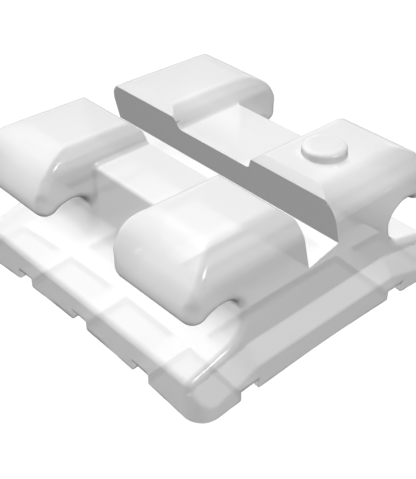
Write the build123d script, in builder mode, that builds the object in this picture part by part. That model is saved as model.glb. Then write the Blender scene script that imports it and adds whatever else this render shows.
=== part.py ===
from build123d import *
from math import asin, atan2, cos, degrees, radians, sin, tan
import os

# Twin orthodontic bracket moulded in one piece of translucent ceramic.
# X runs along the archwire slot, Y across it and Z out from the tooth.
# The origin is the middle of the bonding base, level with its lowest pads.
# All sizes are in millimetres and all angles in degrees.

# Archwire slot, cut at a torque angle to the base
slot_width = 0.457
slot_depth = 0.673
slot_torque = 13.3
lead_in_width = 0.10
lead_in_height = 0.085

# Bonding base
base_length = 4.00
base_width = 3.76
base_corner_radius = 0.25
shelf_foot_height = 0.694
shelf_side_height = 0.468
shelf_edge_radius = 0.08
flange_reach = 0.15
flange_root_height = 0.63
flange_rim_height = 0.355
flange_flat_width = 2.14
flange_root_slope = 16.0
flange_rim_slope = 17.0

# Hollow of the base over its lowest corners, along and across the slot, and its grooves
hollow_along = 0.125
hollow_across = 0.077
groove_width = 0.245
groove_depth = 0.125
cross_groove_pitch = 1.067
long_groove_spacing = 2.36

# Stem between the base and the tie wings
stem_width = 2.28
stem_taper = 0.055
stem_flare_radius = 0.32
saddle_drop = 0.233
saddle_edge_radius = 0.035

# Four tie wings, standing over the stem and hooked down round the tie grooves
wing_neck = 0.2756
wing_overhang = 0.70
wing_hook_angle = 46.75
wing_tip_radius = 0.145
wing_brow = 0.036
wing_roll_radius = 0.54
wing_gap = 1.184
wing_gap_radius = 0.24
wing_end_radius = 0.35
end_edge_radius = 0.06
wing_root_radius = 0.058

# Raised round button that marks one wing
button_diameter = 0.52
button_height = 0.095
button_edge_radius = 0.028
button_along = 1.172
button_across = 0.69

# How far every cutter runs past what it cuts
overrun = 0.5

# Sizes that follow from those above
half_length = base_length / 2
half_body = half_length - flange_reach
half_width = base_width / 2
half_stem = stem_width / 2
half_span = half_stem + wing_overhang

# The tip arc of a wing runs on into the tie groove without a corner. Together the two arcs
# reach as far out as the wing does.
arc_centres = wing_overhang / (1 + sin(radians(wing_hook_angle)))
wing_tie_radius = arc_centres - wing_tip_radius
tie_turn = 90 + wing_hook_angle

# Heights of the wings, saddle and slot, from the shelf up
tie_centre_height = shelf_foot_height + wing_neck
wing_tip_height = tie_centre_height + arc_centres * cos(radians(wing_hook_angle))
wing_height = wing_tip_height + wing_brow + wing_roll_radius
saddle_height = wing_height - saddle_drop
slot_floor_height = wing_height - slot_depth
half_torque_rise = slot_width / 2 * sin(radians(slot_torque))

# The pads reach lowest on the rounded corners of the base, where its arches fall steepest
corner_angle = atan2(hollow_across / half_width, hollow_along / half_length)
low_corner_x = half_length - base_corner_radius * (1 - cos(corner_angle))
low_corner_y = half_width - base_corner_radius * (1 - sin(corner_angle))


def slot_wall_y(side, height):
    """Across-slot place of one tilted slot wall at a height; side is 1 or -1."""
    wall_foot_y = side * slot_width / 2 * cos(radians(slot_torque))
    wall_foot_height = slot_floor_height + side * half_torque_rise
    return wall_foot_y - (height - wall_foot_height) * tan(radians(slot_torque))


def arched_cutter(depth):
    """Solid whose top is the doubly arched underside of the base, raised by a depth."""
    crown = hollow_along + hollow_across + depth
    arch_radius = (low_corner_x**2 + hollow_along**2) / (2 * hollow_along)
    roll_radius = (low_corner_y**2 + hollow_across**2) / (2 * hollow_across)
    half_chord = half_length + overrun
    arch_foot = roll_radius - arch_radius + (arch_radius**2 - half_chord**2) ** 0.5
    half_wedge = degrees(asin((half_width + overrun) / roll_radius))
    wedge_plane = Plane(
        origin=(0, 0, crown - roll_radius),
        x_dir=(1, 0, 0),
        z_dir=(0, -cos(radians(half_wedge)), sin(radians(half_wedge))),
    )
    with BuildPart() as cutter:
        with BuildSketch(wedge_plane):
            with BuildLine():
                arch = ThreePointArc(
                    (-half_chord, arch_foot), (0, roll_radius), (half_chord, arch_foot)
                )
                Polyline(arch @ 1, (half_chord, arch_foot / 2), (-half_chord, arch_foot / 2), arch @ 0)
            make_face()
        revolve(
            axis=Axis((0, 0, crown - roll_radius), (1, 0, 0)), revolution_arc=2 * half_wedge
        )
    return cutter.part


# Channel that parts the wings along the slot and leaves the saddle between them
with BuildPart() as channel:
    with BuildSketch(Plane.YZ) as channel_section:
        with BuildLine():
            Polyline(
                (-half_span - overrun, tie_centre_height),
                (-half_stem, tie_centre_height),
                (stem_taper - half_stem, saddle_height),
                (half_stem - stem_taper, saddle_height),
                (half_stem, tie_centre_height),
                (half_span + overrun, tie_centre_height),
                (half_span + overrun, wing_height + overrun),
                (-half_span - overrun, wing_height + overrun),
                close=True,
            )
        make_face()
        saddle_edges = channel_section.vertices().filter_by(
            lambda vertex: abs(vertex.X) < half_stem and vertex.Y > tie_centre_height
        )
        fillet(saddle_edges, saddle_edge_radius)
    extrude(amount=half_body, both=True)
    with BuildSketch(Plane.XZ) as channel_outline:
        with BuildLine():
            side_wall = Line((wing_gap / 2, 0), (wing_gap / 2, wing_height - wing_gap_radius))
            flare = JernArc(side_wall @ 1, (0, 1), wing_gap_radius, -90)
            Polyline(
                flare @ 1,
                (wing_gap / 2 + wing_gap_radius, wing_height + overrun),
                (0, wing_height + overrun),
                (0, 0),
                side_wall @ 0,
            )
        make_face()
        mirror(about=Plane.YZ)
    extrude(amount=half_span + 2 * overrun, both=True, mode=Mode.INTERSECT)
    root_edges = channel.edges().filter_by(
        lambda edge: abs(abs(edge.center().X) - wing_gap / 2) < wing_root_radius
        and max(abs(edge.bounding_box().min.Y), abs(edge.bounding_box().max.Y)) < half_span
        and edge.center().Z < wing_height
    )
    fillet(root_edges, wing_root_radius)

# Grooves of the bonding base, as deep everywhere below its arched face
with BuildPart() as grooves:
    add(arched_cutter(groove_depth))
    with BuildSketch(Plane.XY.offset(-overrun)):
        with GridLocations(cross_groove_pitch, 0, 3, 1):
            Rectangle(groove_width, base_width + 2 * overrun)
        with GridLocations(0, long_groove_spacing, 1, 2):
            Rectangle(base_length + 2 * overrun, groove_width)
    extrude(amount=2 * overrun, mode=Mode.INTERSECT)

with BuildPart() as bracket:
    # Body with the wing section along its whole length, above the middle of the base
    with BuildSketch(Plane.YZ.offset(-half_body)) as wing_section:
        with BuildLine():
            top = Line((0, wing_height), (half_span - wing_roll_radius, wing_height))
            roll = JernArc(top @ 1, (1, 0), wing_roll_radius, -90)
            brow = Line(roll @ 1, (half_span, wing_tip_height))
            tip = JernArc(brow @ 1, (0, -1), wing_tip_radius, -tie_turn)
            tie = JernArc(tip @ 1, tip % 1, wing_tie_radius, tie_turn)
            FilletPolyline(
                tie @ 1,
                (half_stem, shelf_foot_height),
                (half_width, shelf_side_height),
                (half_width, 0),
                radius=(stem_flare_radius, shelf_edge_radius),
            )
            Polyline((half_width, 0), (0, 0), (0, wing_height))
        make_face()
    extrude(amount=2 * half_body)
    mirror(about=Plane.XZ)
    end_faces = bracket.faces().filter_by(Axis.X)
    end_edges = end_faces.edges().filter_by(lambda edge: edge.center().Z > 0)
    fillet(end_edges, end_edge_radius)

    # Round the outer top edge of each wing
    with BuildSketch(Plane.XZ) as side_outline:
        with Locations((0, wing_height / 2)):
            Rectangle(2 * half_body, wing_height)
        fillet(side_outline.vertices().group_by(Axis.Y)[-1], wing_end_radius)
    extrude(amount=half_width + overrun, both=True, mode=Mode.INTERSECT)

    # Part the four wings
    add(channel.part, mode=Mode.SUBTRACT)

    # Archwire slot with its lead-in bevels
    with BuildSketch(Plane.YZ) as slot_section:
        with Locations((0, slot_floor_height)):
            Rectangle(
                slot_width,
                wing_height,
                rotation=slot_torque,
                align=(Align.CENTER, Align.MIN),
            )
        lead_in_foot = wing_height - lead_in_height
        near_wall, far_wall = slot_wall_y(-1, lead_in_foot), slot_wall_y(1, lead_in_foot)
        with BuildLine():
            Polyline(
                (near_wall, lead_in_foot),
                (near_wall - lead_in_width, wing_height),
                (near_wall - lead_in_width, wing_height + overrun),
                (far_wall + lead_in_width, wing_height + overrun),
                (far_wall + lead_in_width, wing_height),
                (far_wall, lead_in_foot),
                close=True,
            )
        make_face()
    extrude(amount=half_body + overrun, both=True, mode=Mode.SUBTRACT)

    # Flange at both ends, falling outwards and towards its corners. It starts inside the
    # body, past the rounded end edges.
    for side in (-1, 1):
        for place, crest, slope in (
            (half_body - 2 * end_edge_radius, flange_root_height, flange_root_slope),
            (half_body, flange_root_height, flange_root_slope),
            (half_length, flange_rim_height, flange_rim_slope),
        ):
            fall = (half_width - flange_flat_width / 2) * tan(radians(slope))
            with BuildSketch(Plane.YZ.offset(side * place)):
                with BuildLine():
                    Polyline(
                        (-half_width, 0),
                        (-half_width, crest - fall),
                        (-flange_flat_width / 2, crest),
                        (flange_flat_width / 2, crest),
                        (half_width, crest - fall),
                        (half_width, 0),
                        close=True,
                    )
                make_face()
        loft(ruled=True)

    # Round the corners of the base, seen from the tooth, under the wings
    with BuildSketch() as base_plan:
        Rectangle(base_length + 2 * overrun, base_width + 2 * overrun)
        RectangleRounded(base_length, base_width, base_corner_radius, mode=Mode.SUBTRACT)
    extrude(amount=tie_centre_height, mode=Mode.SUBTRACT)

    # Hollow the underside to the curve of a tooth and cut its grooves
    add(arched_cutter(0), mode=Mode.SUBTRACT)
    add(grooves.part, mode=Mode.SUBTRACT)

    # Round button on one wing
    with BuildSketch(Plane.XY.offset(wing_height)) as button_plan:
        with Locations((button_along, button_across)):
            Circle(button_diameter / 2)
    extrude(amount=button_height)
    fillet(bracket.edges().group_by(Axis.Z)[-1], button_edge_radius)

bracket.part.label = "bracket"
os.makedirs("parts", exist_ok=True)
export_step(bracket.part, "parts/bracket.step")
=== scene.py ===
import math
from math import cos, hypot, radians, sin, tan

import bpy
import numpy as np
from mathutils import Matrix, Vector


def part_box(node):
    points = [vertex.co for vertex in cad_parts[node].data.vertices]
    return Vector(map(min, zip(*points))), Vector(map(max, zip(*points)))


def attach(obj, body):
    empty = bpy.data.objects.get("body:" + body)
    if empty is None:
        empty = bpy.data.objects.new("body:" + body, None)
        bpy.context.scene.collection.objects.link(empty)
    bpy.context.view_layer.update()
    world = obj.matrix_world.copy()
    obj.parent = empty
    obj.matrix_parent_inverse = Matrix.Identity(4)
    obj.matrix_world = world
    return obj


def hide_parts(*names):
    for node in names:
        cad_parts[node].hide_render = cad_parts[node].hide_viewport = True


# Twin orthodontic bracket moulded in one piece of translucent white ceramic.
# X runs along the archwire slot, Y across it and Z out from the tooth. The shape is worked out
# in millimetres and written to the mesh in metres. Angles are given in degrees.

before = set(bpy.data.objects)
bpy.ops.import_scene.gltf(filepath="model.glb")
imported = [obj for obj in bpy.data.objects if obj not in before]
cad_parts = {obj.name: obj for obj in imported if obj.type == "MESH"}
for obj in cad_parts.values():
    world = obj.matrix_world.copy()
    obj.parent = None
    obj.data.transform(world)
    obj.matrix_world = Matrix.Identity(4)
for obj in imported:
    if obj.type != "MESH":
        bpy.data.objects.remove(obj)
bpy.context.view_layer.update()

# One millimetre in metres
MM = 0.001

# Overall sizes, taken from the frame
half_length, half_width, button_top = [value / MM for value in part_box("bracket")[1]]

# Archwire slot
slot_width = 0.457
slot_torque = radians(13.3)
slot_floor_height = 1.15
lead_in_width = 0.10
lead_in_height = 0.085

# Bonding base
base_corner_radius = 0.25
shelf_slope = radians(15.0)
shelf_edge_place = 1.823
shelf_edge_height = 0.54
shelf_edge_radius = 0.08
flange_reach = 0.15
flange_root_height = 0.57
flange_rim_height = 0.38
flange_half_flat = 1.07
flange_root_slope = radians(10.5)
flange_rim_slope = radians(17.0)
flange_rim_radius = 0.09
flange_root_radius = 0.012
hollow_along = 0.131
hollow_across = 0.086
hollow_crown = 0.202
groove_width = 0.245
groove_depth = 0.125
cross_groove_pitch = 1.067
long_groove_place = 1.18
groove_edge_radius = 0.015

# Stem and saddle
half_stem = 1.14
half_waist = 1.11
waist_start = 0.50
waist_end = 0.75
waist_lean = 0.03
waist_lean_height = 1.30
stem_flare_radius = 0.31
saddle_height = 1.59
saddle_edge_radius = 0.04
wing_root_radius = 0.058

# Tie wings
wing_height = 1.823
half_span = 1.84
wing_roll_radius = 0.54
wing_tip_height = 1.247
wing_tip_radius = 0.145
wing_tie_radius = 0.26
half_gap = 0.592
wing_gap_radius = 0.24
wing_end_radius = 0.35
wing_lean = 0.022
wing_foot_height = 0.75
wing_edge_radius = 0.10
tip_edge_radius = 0.16
stem_edge_radius = 0.08
edge_change_start = 0.85
edge_change_end = 1.15
tip_change_start = 1.45
tip_change_end = 1.70
root_fade_start = 0.85
root_fade_end = 1.15

# Button
button_along = 1.172
button_across = 0.69
button_radius = 0.25
button_edge_radius = 0.032
button_foot_radius = 0.012

# Mesh: closest and widest spacing of its grid, the reach of the close bands, how far inside a
# rounded edge a band's middle lies, and the bands' places that no other size gives
fine_step = 0.02
coarse_step = 0.055
band_reach = 0.03
edge_inset = 0.02
wing_side_bands = (0.55, 0.60)
end_round_band = 1.79
stem_wall_band = 1.09
rim_band = 0.36
shelf_band = 0.50
tip_band = 1.12

# Ceramic: its greys from outside, and those of the base's underside seen through it. Apart from
# the first, these greys are painted shade.
glaze_grey = 0.77
# Painted shade: the darker grey put on the slot's walls
slot_shade_grey = 0.66
# Painted shade: greys of the underside's back faces, seen through the ceramic
pad_shade_grey = 0.30
groove_wall_shade_grey = 0.10
groove_ceiling_shade_grey = 0.58
face_on_opacity = 0.80
least_roughness = 0.12
most_roughness = 0.18
alumina_ior = 1.76
grains_per_mm = 9.0
slot_skin = 0.003
slot_floor_skin = 0.01

# Camera, fitted to the slot's edges and the base's corners in the photograph: its place, the
# direction it stands in, its roll, and its lens in the photograph's pixels
camera_place = (6.7251, -6.0813, 6.9854)
camera_azimuth = 47.079
camera_elevation = 36.271
camera_roll = 0.248
focal_px = 929.5
centre_x_px = 215.0
centre_y_px = 241.6
width_px = 416
height_px = 479
sensor_mm = 36.0

# Floor and lights
floor_half = 200.0
floor_grey = 0.8
tent_spread = 60.0
bright_core = 0.25

# Azimuth, elevation, outer angle and brightness of each soft patch that the gloss reflects.
# Most began as a least-squares fit to the photograph's tones and were then changed.
# The last two are the key light.
soft_boxes = (
    (-84.0, 44.0, 20.0, 0.90),
    (-66.0, 27.0, 20.0, 0.90),
    (-128.0, 46.0, 20.0, 0.90),
    (-163.0, 10.0, 20.0, 0.50),
    (-60.0, 44.0, 20.0, 0.40),
    (129.0, 8.0, 20.0, 0.60),
    (-49.0, -17.0, 20.0, 0.40),
    (-146.0, -7.0, 20.0, 0.40),
    (129.0, -7.0, 20.0, 0.20),
    (-108.0, 46.0, 20.0, 0.45),
    (-146.0, 10.0, 20.0, 0.20),
    (142.0, 45.0, 22.0, 0.80),
    (-120.0, -7.0, 24.0, 0.20),
    (-109.0, 16.0, 22.0, 0.12),
    (-118.0, 58.0, 16.0, 0.50),
    (112.0, 40.0, 12.0, 9.0),
    (97.0, 39.0, 10.0, 8.0),
)

# Azimuth, elevation and strength of each light of the tent, from the same fit
tent_lights = (
    (0.0, 90.0, 0.17),
    (-120.0, 25.0, 0.90),
    (-60.0, 25.0, 0.91),
    (60.0, 25.0, 0.51),
    (120.0, 25.0, 0.25),
    (180.0, 25.0, 0.23),
)

# Sizes that follow from those above
half_body = half_length - flange_reach
tip_place = half_span - wing_tip_radius
tie_place = half_stem + wing_tie_radius
tie_drop = math.sqrt((wing_tip_radius + wing_tie_radius) ** 2 - (tip_place - tie_place) ** 2)
tie_height = wing_tip_height - tie_drop


def rounded_and(a, b, radius, cosine=0.0):
    """Inside both of two shapes, given their signed distances, with the edge rounded.

    Each distance is measured from a copy set back by the radius. Where a point lies beyond both
    copies, its distance to their shared edge follows from the law of cosines, with the cosine of
    the angle between the two outward normals. Elsewhere the larger distance counts.
    """
    u, v = a + radius, b + radius
    sine_squared = np.maximum(1.0 - cosine * cosine, 1e-9)
    squared = (u - v) ** 2 / sine_squared + 2.0 * u * v / (1.0 + cosine)
    beyond_both = (u > cosine * v) & (v > cosine * u)
    return np.where(beyond_both, np.sqrt(np.maximum(squared, 0.0)) - radius, np.maximum(a, b))


def rounded_or(a, b, radius, cosine=0.0):
    """Inside either of two shapes, with a fillet of the radius in the corner between them."""
    return -rounded_and(-a, -b, radius, cosine)


def ease(share):
    """Smooth step from 0 to 1: three times the square less twice the cube of the share."""
    share = np.clip(share, 0.0, 1.0)
    return share * share * (3.0 - 2.0 * share)


def gradient(field, points, step=2e-4):
    """Slope of a field along X, Y and Z, from its values one step each side of every point."""
    slopes = np.empty_like(points)
    for axis in range(3):
        shift = np.zeros(3)
        shift[axis] = step
        ahead, behind = points + shift, points - shift
        slopes[:, axis] = (field(*ahead.T) - field(*behind.T)) / (2.0 * step)
    return slopes


def joined(first, second, x, y, z, radius, inside_both):
    """Two fields put together with their edge or corner rounded, at its true angle all along.

    The cosine of the angle between the two surfaces comes from both gradients, and is worked
    out only close to both surfaces. Elsewhere the plain maximum or minimum holds.
    """
    sign = 1.0 if inside_both else -1.0
    a, b = sign * first(x, y, z), sign * second(x, y, z)
    least_cosine = -0.95
    out = np.maximum(a, b)
    radius = radius + np.zeros_like(a)
    near = (np.minimum(a, b) > -2.0 * radius) & (np.maximum(a, b) < 3.0 * radius)
    if near.any():
        points = np.stack([x[near], y[near], z[near]], axis=1)
        ga, gb = gradient(first, points), gradient(second, points)
        length = np.sqrt((ga**2).sum(1) * (gb**2).sum(1)) + 1e-12
        cosine = np.clip((ga * gb).sum(1) / length, least_cosine, 1.0 - 1e-9)
        out[near] = rounded_and(a[near], b[near], radius[near], cosine)
    return sign * out


def wing_profile(b, z):
    """Outline of a wing across the slot, at distance b from the middle and height z.

    The top plane and the outermost plane meet in the large roll-off. Below, the tip is the set
    of points within the tip radius of the corner where the outermost plane, set back, meets the
    tie groove's circle, set back too. That corner's own sector is measured from the point. Below
    the groove's centre its innermost line runs straight down.
    """
    upper = rounded_and(z - wing_height, b - half_span, wing_roll_radius)
    across, up = b - tip_place, z - wing_tip_height
    to_tie = np.array([tie_place - tip_place, tie_height - wing_tip_height])
    to_tie /= hypot(*to_tie)
    beyond_brow = (across * to_tie[1] - up * to_tie[0]) / to_tie[1] > 0
    beyond_groove = up / to_tie[1] > 0
    groove = wing_tip_radius + wing_tie_radius - np.hypot(b - tie_place, z - tie_height)
    groove = np.where(z < tie_height, wing_tip_radius + b - half_stem, groove)
    sector = beyond_brow & beyond_groove
    lower = np.where(sector, np.hypot(across, up), np.maximum(across, groove))
    return np.maximum(upper, lower - wing_tip_radius)


def wing_outline(a, z):
    """Outline of a wing along the slot: rounded end face, and side wall flared at its top."""
    outer = rounded_and(z - wing_height, a - half_body, wing_end_radius)
    inner = rounded_and(z - wing_height, half_gap - a, wing_gap_radius)
    return np.maximum(outer, inner)


def end_edge_radius(b, z):
    """Radius of the edges round the end faces and wing sides.

    It is small at the stem's foot, larger on the wings and largest at their tips.
    """
    share = ease((z - edge_change_start) / (edge_change_end - edge_change_start))
    outward = ease((b - tip_change_start) / (tip_change_end - tip_change_start))
    downward = ease((wing_height - wing_end_radius - z) / wing_tip_radius)
    wing_radius = wing_edge_radius + (tip_edge_radius - wing_edge_radius) * outward * downward
    return stem_edge_radius + (wing_radius - stem_edge_radius) * share


def wings(x, y, z):
    """All four wings: the wing profile and the wing outline, both mirrored, edges rounded.

    The two normals share only their upward parts, so the cosine is the product of the two
    outlines' slopes in height. The wings lean a little across the slot, and end below within
    the column.
    """
    a, b, z = np.abs(x), np.abs(y), z + wing_lean * y
    step = 1e-4
    profile_slope = (wing_profile(b, z + step) - wing_profile(b, z - step)) / (2 * step)
    outline_slope = (wing_outline(a, z + step) - wing_outline(a, z - step)) / (2 * step)
    cosine = np.clip(profile_slope * outline_slope, -0.999999, 1.0 - 1e-9)
    solid = rounded_and(wing_profile(b, z), wing_outline(a, z), end_edge_radius(b, z), cosine)
    return np.maximum(solid, wing_foot_height - z)


def column(x, y, z):
    """Stem, saddle and sloping shelf: a leaning wall flared into the shelf's plane.

    The wall stands closer to the middle between the wings, which is the waist. The shelf ends
    in a round at the side of the base, and the column ends in the saddle's plane.
    """
    a, b = np.abs(x), np.abs(y)
    share = ease((a - waist_start) / (waist_end - waist_start))
    wall = half_waist + (half_stem - half_waist) * share
    stem = b - wall + waist_lean * (z - waist_lean_height)
    shelf = (z - shelf_edge_height) * cos(shelf_slope) + (b - shelf_edge_place) * sin(shelf_slope)
    solid = rounded_or(stem, shelf, stem_flare_radius, sin(shelf_slope))
    solid = rounded_and(solid, b - half_width, shelf_edge_radius, sin(shelf_slope))
    solid = rounded_and(solid, z - saddle_height, saddle_edge_radius, waist_lean)
    return rounded_and(solid, a - half_body, end_edge_radius(b, z))


def base_plan(x, y, z):
    """Rounded rectangle of the base, seen from the tooth."""
    return rounded_and(np.abs(x) - half_length, np.abs(y) - half_width, base_corner_radius)


def flange_top(x, y, z):
    """Slopes of the end flanges: straight lines from the root line down to the rim line.

    Both lines are level in the middle and fall off beyond the flat, each at its own slope.
    """
    a, outside = np.abs(x), np.maximum(np.abs(y) - flange_half_flat, 0.0)
    root = flange_root_height - outside * tan(flange_root_slope)
    rim = flange_rim_height - outside * tan(flange_rim_slope)
    steepness = (flange_root_height - flange_rim_height) / flange_reach
    slope = (z - root - (a - half_body) / flange_reach * (rim - root)) / hypot(1.0, steepness)
    return np.maximum(slope, z - root)


def flange(x, y, z):
    """The base under its flanges, with the rim rounded."""
    return joined(flange_top, base_plan, x, y, z, flange_rim_radius, inside_both=True)


def body(x, y, z):
    """Wings and column, with a fillet where the wings' inner sides meet the stem and saddle.

    The fillet fades out before the end faces, where both are flush.
    """
    fade = ease((np.abs(x) - root_fade_start) / (root_fade_end - root_fade_start))
    return joined(wings, column, x, y, z, wing_root_radius * (1.0 - fade), inside_both=False)


def button(x, y, z):
    """Short round button on one wing, with a rounded top edge."""
    side = np.hypot(x - button_along, y - button_across) - button_radius
    return rounded_and(side, z - button_top, button_edge_radius)


def slot(x, y, z):
    """Archwire slot: two walls and a floor turned by the torque, and two lead-in bevels."""
    across = y * cos(slot_torque) + (z - slot_floor_height) * sin(slot_torque)
    above = (z - slot_floor_height) * cos(slot_torque) - y * sin(slot_torque)
    channel = np.maximum(np.abs(across) - slot_width / 2, -above)
    bevel_foot = wing_height - lead_in_height
    rise = lead_in_height / lead_in_width
    bevels = []
    for side in (-1, 1):
        foot_y = side * slot_width / 2 * cos(slot_torque)
        foot_z = slot_floor_height + side * slot_width / 2 * sin(slot_torque)
        wall = foot_y - (bevel_foot - foot_z) * tan(slot_torque)
        bevels.append((bevel_foot + side * (y - wall) * rise - z) / hypot(1.0, rise))
    return np.minimum(channel, np.maximum(*bevels))


def arched_face(x, y):
    """Height of the arched underside: the crown less one parabola along and one across."""
    along = hollow_along * (x / half_length) ** 2
    across = hollow_across * (y / half_width) ** 2
    return hollow_crown - along - across


def grooves(x, y, z):
    """Retention grooves: three bars across and two along, a groove's depth above the face."""
    a, b = np.abs(x), np.abs(y)
    crossing = np.minimum(a, np.abs(a - cross_groove_pitch)) - groove_width / 2
    lengthwise = np.abs(b - long_groove_place) - groove_width / 2
    return np.maximum(np.minimum(crossing, lengthwise), z - arched_face(x, y) - groove_depth)


def bracket(x, y, z):
    """The whole bracket as one signed field, negative inside the ceramic."""
    solid = joined(body, flange, x, y, z, flange_root_radius, inside_both=False)
    solid = np.maximum(solid, base_plan(x, y, z))
    solid = rounded_or(solid, button(x, y, z), button_foot_radius)
    solid = np.maximum(solid, -slot(x, y, z))
    solid = rounded_and(solid, arched_face(x, y) - z, groove_edge_radius)
    return rounded_and(solid, -grooves(x, y, z), groove_edge_radius)


def grid_lines(start, end, coarse, fine, places, reach):
    """Grid lines from start to end, set closer around the given places on both sides.

    The step is fine within reach of a place and grows to coarse further off. Its inverse, the
    number of lines per millimetre, is added up and cut into equal shares.
    """
    samples = 20001
    t = np.linspace(start, end, samples)
    offsets = np.abs(np.abs(t)[:, None] - np.array(places)[None, :]).min(axis=1)
    step = fine + (coarse - fine) * np.clip((offsets - reach) / (3.0 * coarse), 0.0, 1.0)
    density = 0.5 * (1.0 / step[1:] + 1.0 / step[:-1]) * np.diff(t)
    count = np.concatenate([[0.0], np.cumsum(density)])
    lines = int(np.ceil(count[-1])) + 1
    return np.interp(np.linspace(0.0, count[-1], lines), count, t)


def crossings(field, lines, values):
    """Points where the surface crosses the grid's edges, with their edge, axis and direction.

    Each root is closed in on by turns of the secant and of halving.
    """
    turns, least_share = 12, 0.02
    starts, axes, leaves = [], [], []
    for axis in range(3):
        before = np.take(values, range(values.shape[axis] - 1), axis)
        after = np.take(values, range(1, values.shape[axis]), axis)
        found = np.argwhere((before < 0) != (after < 0))
        starts.append(found)
        axes.append(np.full(len(found), axis))
        leaves.append(before[tuple(found.T)] < 0)
    starts, axes, leaves = np.concatenate(starts), np.concatenate(axes), np.concatenate(leaves)
    ends = starts.copy()
    ends[np.arange(len(ends)), axes] += 1
    p0 = np.stack([lines[i][starts[:, i]] for i in range(3)], axis=1)
    p1 = np.stack([lines[i][ends[:, i]] for i in range(3)], axis=1)
    near, far = np.zeros(len(starts)), np.ones(len(starts))
    f_near, f_far = values[tuple(starts.T)], values[tuple(ends.T)]
    for turn in range(turns):
        secant = np.clip(f_near / (f_near - f_far), least_share, 1.0 - least_share)
        share = secant if turn % 3 < 2 else 0.5
        t = near + (far - near) * share
        f = field(*(p0 + (p1 - p0) * t[:, None]).T)
        same = (f < 0) == (f_near < 0)
        near, f_near = np.where(same, t, near), np.where(same, f, f_near)
        far, f_far = np.where(same, far, t), np.where(same, f_far, f)
    t = near + (far - near) * np.clip(f_near / (f_near - f_far), 0.0, 1.0)
    return p0 + (p1 - p0) * t[:, None], starts, axes, leaves


def surface(field, lines):
    """Closed mesh of the surface where a field is zero, with true edges and corners.

    Every grid cell that the surface passes through gets one point: the one that lies best on
    the tangent planes at the cell's crossings. So it falls on an edge or corner where there is
    one. Four cells share each crossed grid edge, and their points make two triangles there.
    """
    mesh_grid = np.meshgrid(*lines, indexing="ij")
    shape = mesh_grid[0].shape
    values = field(*[part.ravel() for part in mesh_grid]).reshape(shape)
    points, starts, axes, leaves = crossings(field, lines, values)
    normals = gradient(field, points)
    normals /= np.linalg.norm(normals, axis=1)[:, None] + 1e-12
    cells_shape = np.array(shape) - 1
    cells = np.empty((len(points), 4), dtype=np.int64)
    for axis in range(3):
        chosen = axes == axis
        for corner, (u_shift, v_shift) in enumerate(((0, 0), (-1, 0), (-1, -1), (0, -1))):
            cell = starts[chosen].copy()
            cell[:, (axis + 1) % 3] += u_shift
            cell[:, (axis + 2) % 3] += v_shift
            cells[chosen, corner] = np.ravel_multi_index(cell.T, cells_shape)
    used, quads = np.unique(cells, return_inverse=True)
    quads = quads.reshape(cells.shape)
    verts = cell_points(quads, points, normals, len(used))
    place = np.stack(np.unravel_index(used, cells_shape), axis=1)
    lowest = np.stack([lines[i][place[:, i]] for i in range(3)], axis=1)
    highest = np.stack([lines[i][place[:, i] + 1] for i in range(3)], axis=1)
    verts = settled(field, np.clip(verts, lowest, highest))
    quads[~leaves] = quads[~leaves][:, ::-1]
    return verts, split_quads(verts, quads, normals)


def cell_points(quads, points, normals, count):
    """Point of each cell with the least squared distance to its crossings' tangent planes.

    It is found from the crossings' middle by the planes' normal matrix, turned round through
    its own axes. Axes that carry almost no information are left out.
    """
    weakest_kept = 0.03
    cell = quads.ravel()
    spots, directions = np.repeat(points, 4, axis=0), np.repeat(normals, 4, axis=0)
    share = np.bincount(cell, minlength=count)[:, None]
    middle = np.stack([np.bincount(cell, spots[:, i], count) for i in range(3)], 1) / share
    distance = ((spots - middle[cell]) * directions).sum(1)
    matrix, target = np.empty((count, 3, 3)), np.empty((count, 3))
    for i in range(3):
        target[:, i] = np.bincount(cell, directions[:, i] * distance, count)
        for j in range(3):
            matrix[:, i, j] = np.bincount(cell, directions[:, i] * directions[:, j], count)
    strengths, turned = np.linalg.eigh(matrix)
    kept = strengths > weakest_kept * strengths[:, 2:3]
    inverse = np.where(kept, 1.0 / np.maximum(strengths, 1e-9), 0.0)
    along = np.einsum("nji,nj->ni", turned, target)
    return middle + np.einsum("nij,nj->ni", turned * inverse[:, None, :], along)


def settled(field, verts):
    """Points moved down the field's slope onto the surface, by a few micrometres at most.

    Where the slope is under a half or over 2, the point stays.
    """
    longest_move = 0.004
    for _ in range(2):
        slope = gradient(field, verts)
        squared = (slope**2).sum(1)
        steady = (squared > 0.25) & (squared < 4.0)
        step = np.where(steady, field(*verts.T) / np.maximum(squared, 1e-9), 0.0)
        verts = verts - slope * np.clip(step, -longest_move, longest_move)[:, None]
    return verts


def split_quads(verts, quads, normals):
    """Two triangles from each quad, cut along the diagonal that follows the surface better."""

    def facing(*corners):
        """Cosine between a triangle's own normal and the surface's normal at the quad."""
        a, b, c = [verts[quads[:, corner]] for corner in corners]
        cross = np.cross(b - a, c - a)
        return (cross * normals).sum(1) / (np.linalg.norm(cross, axis=1) + 1e-15)

    first = np.minimum(facing(0, 1, 2), facing(0, 2, 3))
    second = np.minimum(facing(0, 1, 3), facing(1, 2, 3))
    one_way, other_way = quads[:, [[0, 1, 2], [0, 2, 3]]], quads[:, [[0, 1, 3], [1, 2, 3]]]
    return np.where((first >= second)[:, None, None], one_way, other_way).reshape(-1, 3)


def corner_normals(field, verts, triangles):
    """Normal of each triangle's corner, read just inside the triangle, so edges stay crisp."""
    inset, largest_share = 0.004, 0.3
    corners = verts[triangles]
    inward = corners.mean(axis=1, keepdims=True) - corners
    reach = np.linalg.norm(inward, axis=2, keepdims=True) + 1e-12
    spots = corners + inward / reach * np.minimum(inset, largest_share * reach)
    slopes = gradient(field, spots.reshape(-1, 3))
    return slopes / (np.linalg.norm(slopes, axis=1)[:, None] + 1e-12)


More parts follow.
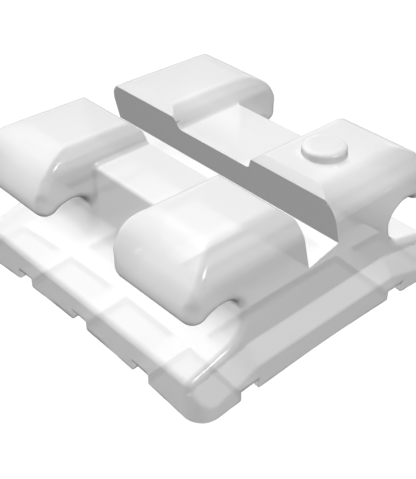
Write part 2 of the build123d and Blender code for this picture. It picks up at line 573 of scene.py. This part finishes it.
def make_bracket():
    """The bracket's mesh, in metres, with normals from the field itself."""
    ends = (*wing_side_bands, end_round_band, half_body, half_length - edge_inset / 2)
    sides = (stem_wall_band, shelf_edge_place, half_width - edge_inset)
    tops = (wing_height - edge_inset, button_top - edge_inset)
    levels = (0.0, rim_band, shelf_band, tip_band, saddle_height, *tops)
    lines = []
    for start, end, places in (
        (-half_length, half_length, ends),
        (-half_width, half_width, sides),
        (0.0, button_top, levels),
    ):
        first, last = start - band_reach, end + band_reach
        lines.append(grid_lines(first, last, coarse_step, fine_step, places, band_reach))
    verts, triangles = surface(bracket, lines)
    normals = corner_normals(bracket, verts, triangles)
    mesh = bpy.data.meshes.new("bracket_body")
    mesh.from_pydata(verts * MM, [], triangles)
    mesh.polygons.foreach_set("use_smooth", np.ones(len(triangles), dtype=bool))
    mesh.normals_split_custom_set(normals)
    mesh.validate()
    piece = bpy.data.objects.new("bracket_body", mesh)
    bpy.context.collection.objects.link(piece)
    return piece


def formula(nodes, links, operation, *values):
    """Math node's result; each value is a number or another node's socket."""
    node = nodes.new("ShaderNodeMath")
    node.operation = operation
    for socket, value in zip(node.inputs, values):
        if isinstance(value, (int, float)):
            socket.default_value = value
        else:
            links.new(value, socket)
    return node.outputs["Value"]


def millimetre_places():
    """Node group with the place on the part along X, Y and Z, in millimetres."""
    group = bpy.data.node_groups.new("Place on the part", "ShaderNodeTree")
    nodes, links = group.nodes, group.links
    split = nodes.new("ShaderNodeSeparateXYZ")
    links.new(nodes.new("ShaderNodeTexCoord").outputs["Object"], split.inputs["Vector"])
    out = nodes.new("NodeGroupOutput")
    for axis in "XYZ":
        group.interface.new_socket(name=axis, in_out="OUTPUT", socket_type="NodeSocketFloat")
        place = formula(nodes, links, "MULTIPLY", split.outputs[axis], 1.0 / MM)
        links.new(place, out.inputs[axis])
    return group


def slot_mask(nodes, links, place):
    """1 on the archwire slot's walls, 0 elsewhere, from the distance to its middle plane.

    A thin skin beyond the walls counts with them, and the floor doesn't.
    """
    y, z = place.outputs["Y"], place.outputs["Z"]
    above = formula(nodes, links, "SUBTRACT", z, slot_floor_height)
    leaning = formula(nodes, links, "MULTIPLY", above, sin(slot_torque))
    across = formula(nodes, links, "MULTIPLY_ADD", y, cos(slot_torque), leaning)
    aside = formula(nodes, links, "ABSOLUTE", across)
    inside = formula(nodes, links, "LESS_THAN", aside, slot_width / 2 + slot_skin)
    lowest = slot_floor_height + slot_floor_skin
    slant = formula(nodes, links, "MULTIPLY_ADD", y, tan(slot_torque), lowest)
    over_floor = formula(nodes, links, "GREATER_THAN", z, slant)
    return formula(nodes, links, "MULTIPLY", inside, over_floor)


def under_level(nodes, links, place, depth):
    """1 below the arched underside raised by a depth, 0 above it."""
    along = formula(nodes, links, "MULTIPLY", place.outputs["X"], place.outputs["X"])
    across = formula(nodes, links, "MULTIPLY", place.outputs["Y"], place.outputs["Y"])
    crown = hollow_crown + depth
    fall = formula(nodes, links, "MULTIPLY_ADD", along, -hollow_along / half_length**2, crown)
    face = formula(nodes, links, "MULTIPLY_ADD", across, -hollow_across / half_width**2, fall)
    return formula(nodes, links, "LESS_THAN", place.outputs["Z"], face)


def mixed(nodes, links, factor, first, second):
    """Value from first to second as the factor goes from 0 to 1."""
    mix = nodes.new("ShaderNodeMix")
    links.new(factor, mix.inputs["Factor"])
    for socket, value in ((mix.inputs["A"], first), (mix.inputs["B"], second)):
        if isinstance(value, (int, float)):
            socket.default_value = value
        else:
            links.new(value, socket)
    return mix.outputs["Result"]


def ceramic():
    """Glossy white ceramic that lets a little light straight through.

    Its opacity goes from the face-on value to 1 with the cube of the grazing angle's share. Seen
    through it, its back faces carry painted shade: the grooves' walls are dark, the pads lighter
    and the grooves' ceilings lightest.
    Its sintered grain, about a tenth of a millimetre across, makes the gloss a little uneven.
    The slot's walls get a darker grey, which is painted shade, and let nothing through.
    """
    material = bpy.data.materials.new("ceramic")
    material.use_nodes = True
    nodes, links = material.node_tree.nodes, material.node_tree.links
    shader = nodes["Principled BSDF"]
    place = nodes.new("ShaderNodeGroup")
    place.node_tree = millimetre_places()
    # Painted shade on the slot's walls: their mask darkens the colour and makes them opaque
    slot_shade_mask = slot_mask(nodes, links, place)
    outside = mixed(nodes, links, slot_shade_mask, glaze_grey, slot_shade_grey)
    # Painted shade: the back faces get darker greys by region, darkest on the grooves' walls
    near_face, near_ceiling = 0.1 * groove_depth, 0.9 * groove_depth
    walls = under_level(nodes, links, place, near_ceiling)
    pads = under_level(nodes, links, place, near_face)
    grooved = mixed(nodes, links, walls, groove_ceiling_shade_grey, groove_wall_shade_grey)
    inside = mixed(nodes, links, pads, grooved, pad_shade_grey)
    # Back faces take the painted shade greys in place of the outside grey
    backfacing = nodes.new("ShaderNodeNewGeometry").outputs["Backfacing"]
    links.new(mixed(nodes, links, backfacing, outside, inside), shader.inputs["Base Color"])
    facing = nodes.new("ShaderNodeLayerWeight").outputs["Facing"]
    grazing = formula(nodes, links, "POWER", facing, 3.0)
    opacity = mixed(nodes, links, grazing, face_on_opacity, 1.0)
    links.new(formula(nodes, links, "MAXIMUM", slot_shade_mask, opacity), shader.inputs["Alpha"])
    grain = nodes.new("ShaderNodeTexNoise")
    grain.inputs["Scale"].default_value = grains_per_mm / MM
    grain.inputs["Detail"].default_value = 3.0
    links.new(nodes.new("ShaderNodeTexCoord").outputs["Object"], grain.inputs["Vector"])
    roughness = mixed(nodes, links, grain.outputs["Fac"], least_roughness, most_roughness)
    links.new(roughness, shader.inputs["Roughness"])
    shader.inputs["IOR"].default_value = alumina_ior
    return material


def make_stage():
    """White floor under the pads. It sends no light back up, as if it were far below."""
    half = floor_half * MM
    corners = [(-half, -half, 0), (half, -half, 0), (half, half, 0), (-half, half, 0)]
    mesh = bpy.data.meshes.new("floor")
    mesh.from_pydata(corners, [], [(0, 1, 2, 3)])
    floor = bpy.data.objects.new("floor", mesh)
    bpy.context.collection.objects.link(floor)
    floor.visible_diffuse = floor.visible_glossy = False
    material = bpy.data.materials.new("white floor")
    material.use_nodes = True
    shader = material.node_tree.nodes["Principled BSDF"]
    shader.inputs["Base Color"].default_value = (floor_grey, floor_grey, floor_grey, 1.0)
    shader.inputs["Specular IOR Level"].default_value = 0.0
    floor.data.materials.append(material)


def make_camera():
    """Camera at the photograph's place and with its viewing angle.

    Its back is the unit vector of its azimuth and elevation, and its right side is level but
    for the roll. The lens and shift follow from the focal length and the optical centre.
    """
    back = towards(camera_azimuth, camera_elevation)
    level = towards(camera_azimuth + 90.0, 0.0)
    roll = radians(camera_roll)
    right = level * cos(roll) + back.cross(level) * sin(roll)
    turn = Matrix((right, back.cross(right), back)).transposed()
    camera = bpy.data.objects.new("camera", bpy.data.cameras.new("camera"))
    camera.matrix_world = Matrix.Translation(Vector(camera_place) * MM) @ turn.to_4x4()
    camera.data.sensor_width = sensor_mm
    camera.data.lens = focal_px / height_px * sensor_mm
    camera.data.shift_x = (width_px / 2 - centre_x_px) / height_px
    camera.data.shift_y = (centre_y_px - height_px / 2) / height_px
    camera.data.clip_start, camera.data.clip_end = MM, 1000.0 * MM
    bpy.context.collection.objects.link(camera)
    bpy.context.scene.camera = camera


def towards(azimuth, elevation):
    """Unit vector at an azimuth and an elevation. Azimuth 0 is -Y and azimuth 90 is +X."""
    a, e = radians(azimuth), radians(elevation)
    return Vector((sin(a) * cos(e), -cos(a) * cos(e), sin(e)))


def fill_light(name, azimuth, elevation, strength):
    """Very soft light without shadows or reflections, as from one part of a white tent.

    At strength 1 it shows a white face that looks straight at it as white, which takes a sun
    of pi watts per square metre.
    """
    data = bpy.data.lights.new(name, "SUN")
    data.energy = strength * math.pi
    data.angle = radians(tent_spread)
    data.use_shadow = False
    light = bpy.data.objects.new(name, data)
    light.rotation_mode = "QUATERNION"
    light.rotation_quaternion = towards(azimuth, elevation).to_track_quat("Z", "Y")
    light.visible_glossy = False
    bpy.context.collection.objects.link(light)


def soft_box(nodes, links, direction, azimuth, elevation, outer, brightness):
    """Round patch of the sky, full in its core and faded out at its outer angle."""
    dot = nodes.new("ShaderNodeVectorMath")
    dot.operation = "DOT_PRODUCT"
    dot.inputs[1].default_value = towards(azimuth, elevation)
    links.new(direction, dot.inputs[0])
    fade = nodes.new("ShaderNodeMapRange")
    fade.interpolation_type = "SMOOTHSTEP"
    fade.inputs["From Min"].default_value = cos(radians(outer))
    fade.inputs["From Max"].default_value = cos(radians(bright_core * outer))
    fade.inputs["To Max"].default_value = brightness
    links.new(dot.outputs["Value"], fade.inputs["Value"])
    return fade.outputs["Result"]


def make_world():
    """What the gloss reflects: a dim room with soft boxes. The camera sees plain white."""
    world = bpy.data.worlds.new("studio")
    world.use_nodes = True
    bpy.context.scene.world = world
    world.cycles_visibility.diffuse = False
    nodes, links = world.node_tree.nodes, world.node_tree.links
    direction = nodes.new("ShaderNodeTexCoord").outputs["Generated"]
    total, *others = [soft_box(nodes, links, direction, *box) for box in soft_boxes]
    for patch in others:
        total = formula(nodes, links, "ADD", total, patch)
    camera_ray = nodes.new("ShaderNodeLightPath").outputs["Is Camera Ray"]
    background = nodes["Background"]
    background.inputs["Color"].default_value = (1.0, 1.0, 1.0, 1.0)
    links.new(mixed(nodes, links, camera_ray, total, 1.0), background.inputs["Strength"])


def make_light():
    """White tent, with one faint light overhead and five low ones, and the world of the gloss."""
    for azimuth, elevation, strength in tent_lights:
        fill_light("tent %d" % azimuth, azimuth, elevation, strength)
    make_world()
    bpy.context.scene.view_settings.view_transform = "Standard"


make_stage()
piece = make_bracket()
piece.visible_diffuse = piece.visible_glossy = False
piece.data.materials.append(ceramic())
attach(piece, "root")
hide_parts("bracket")
make_camera()
make_light()
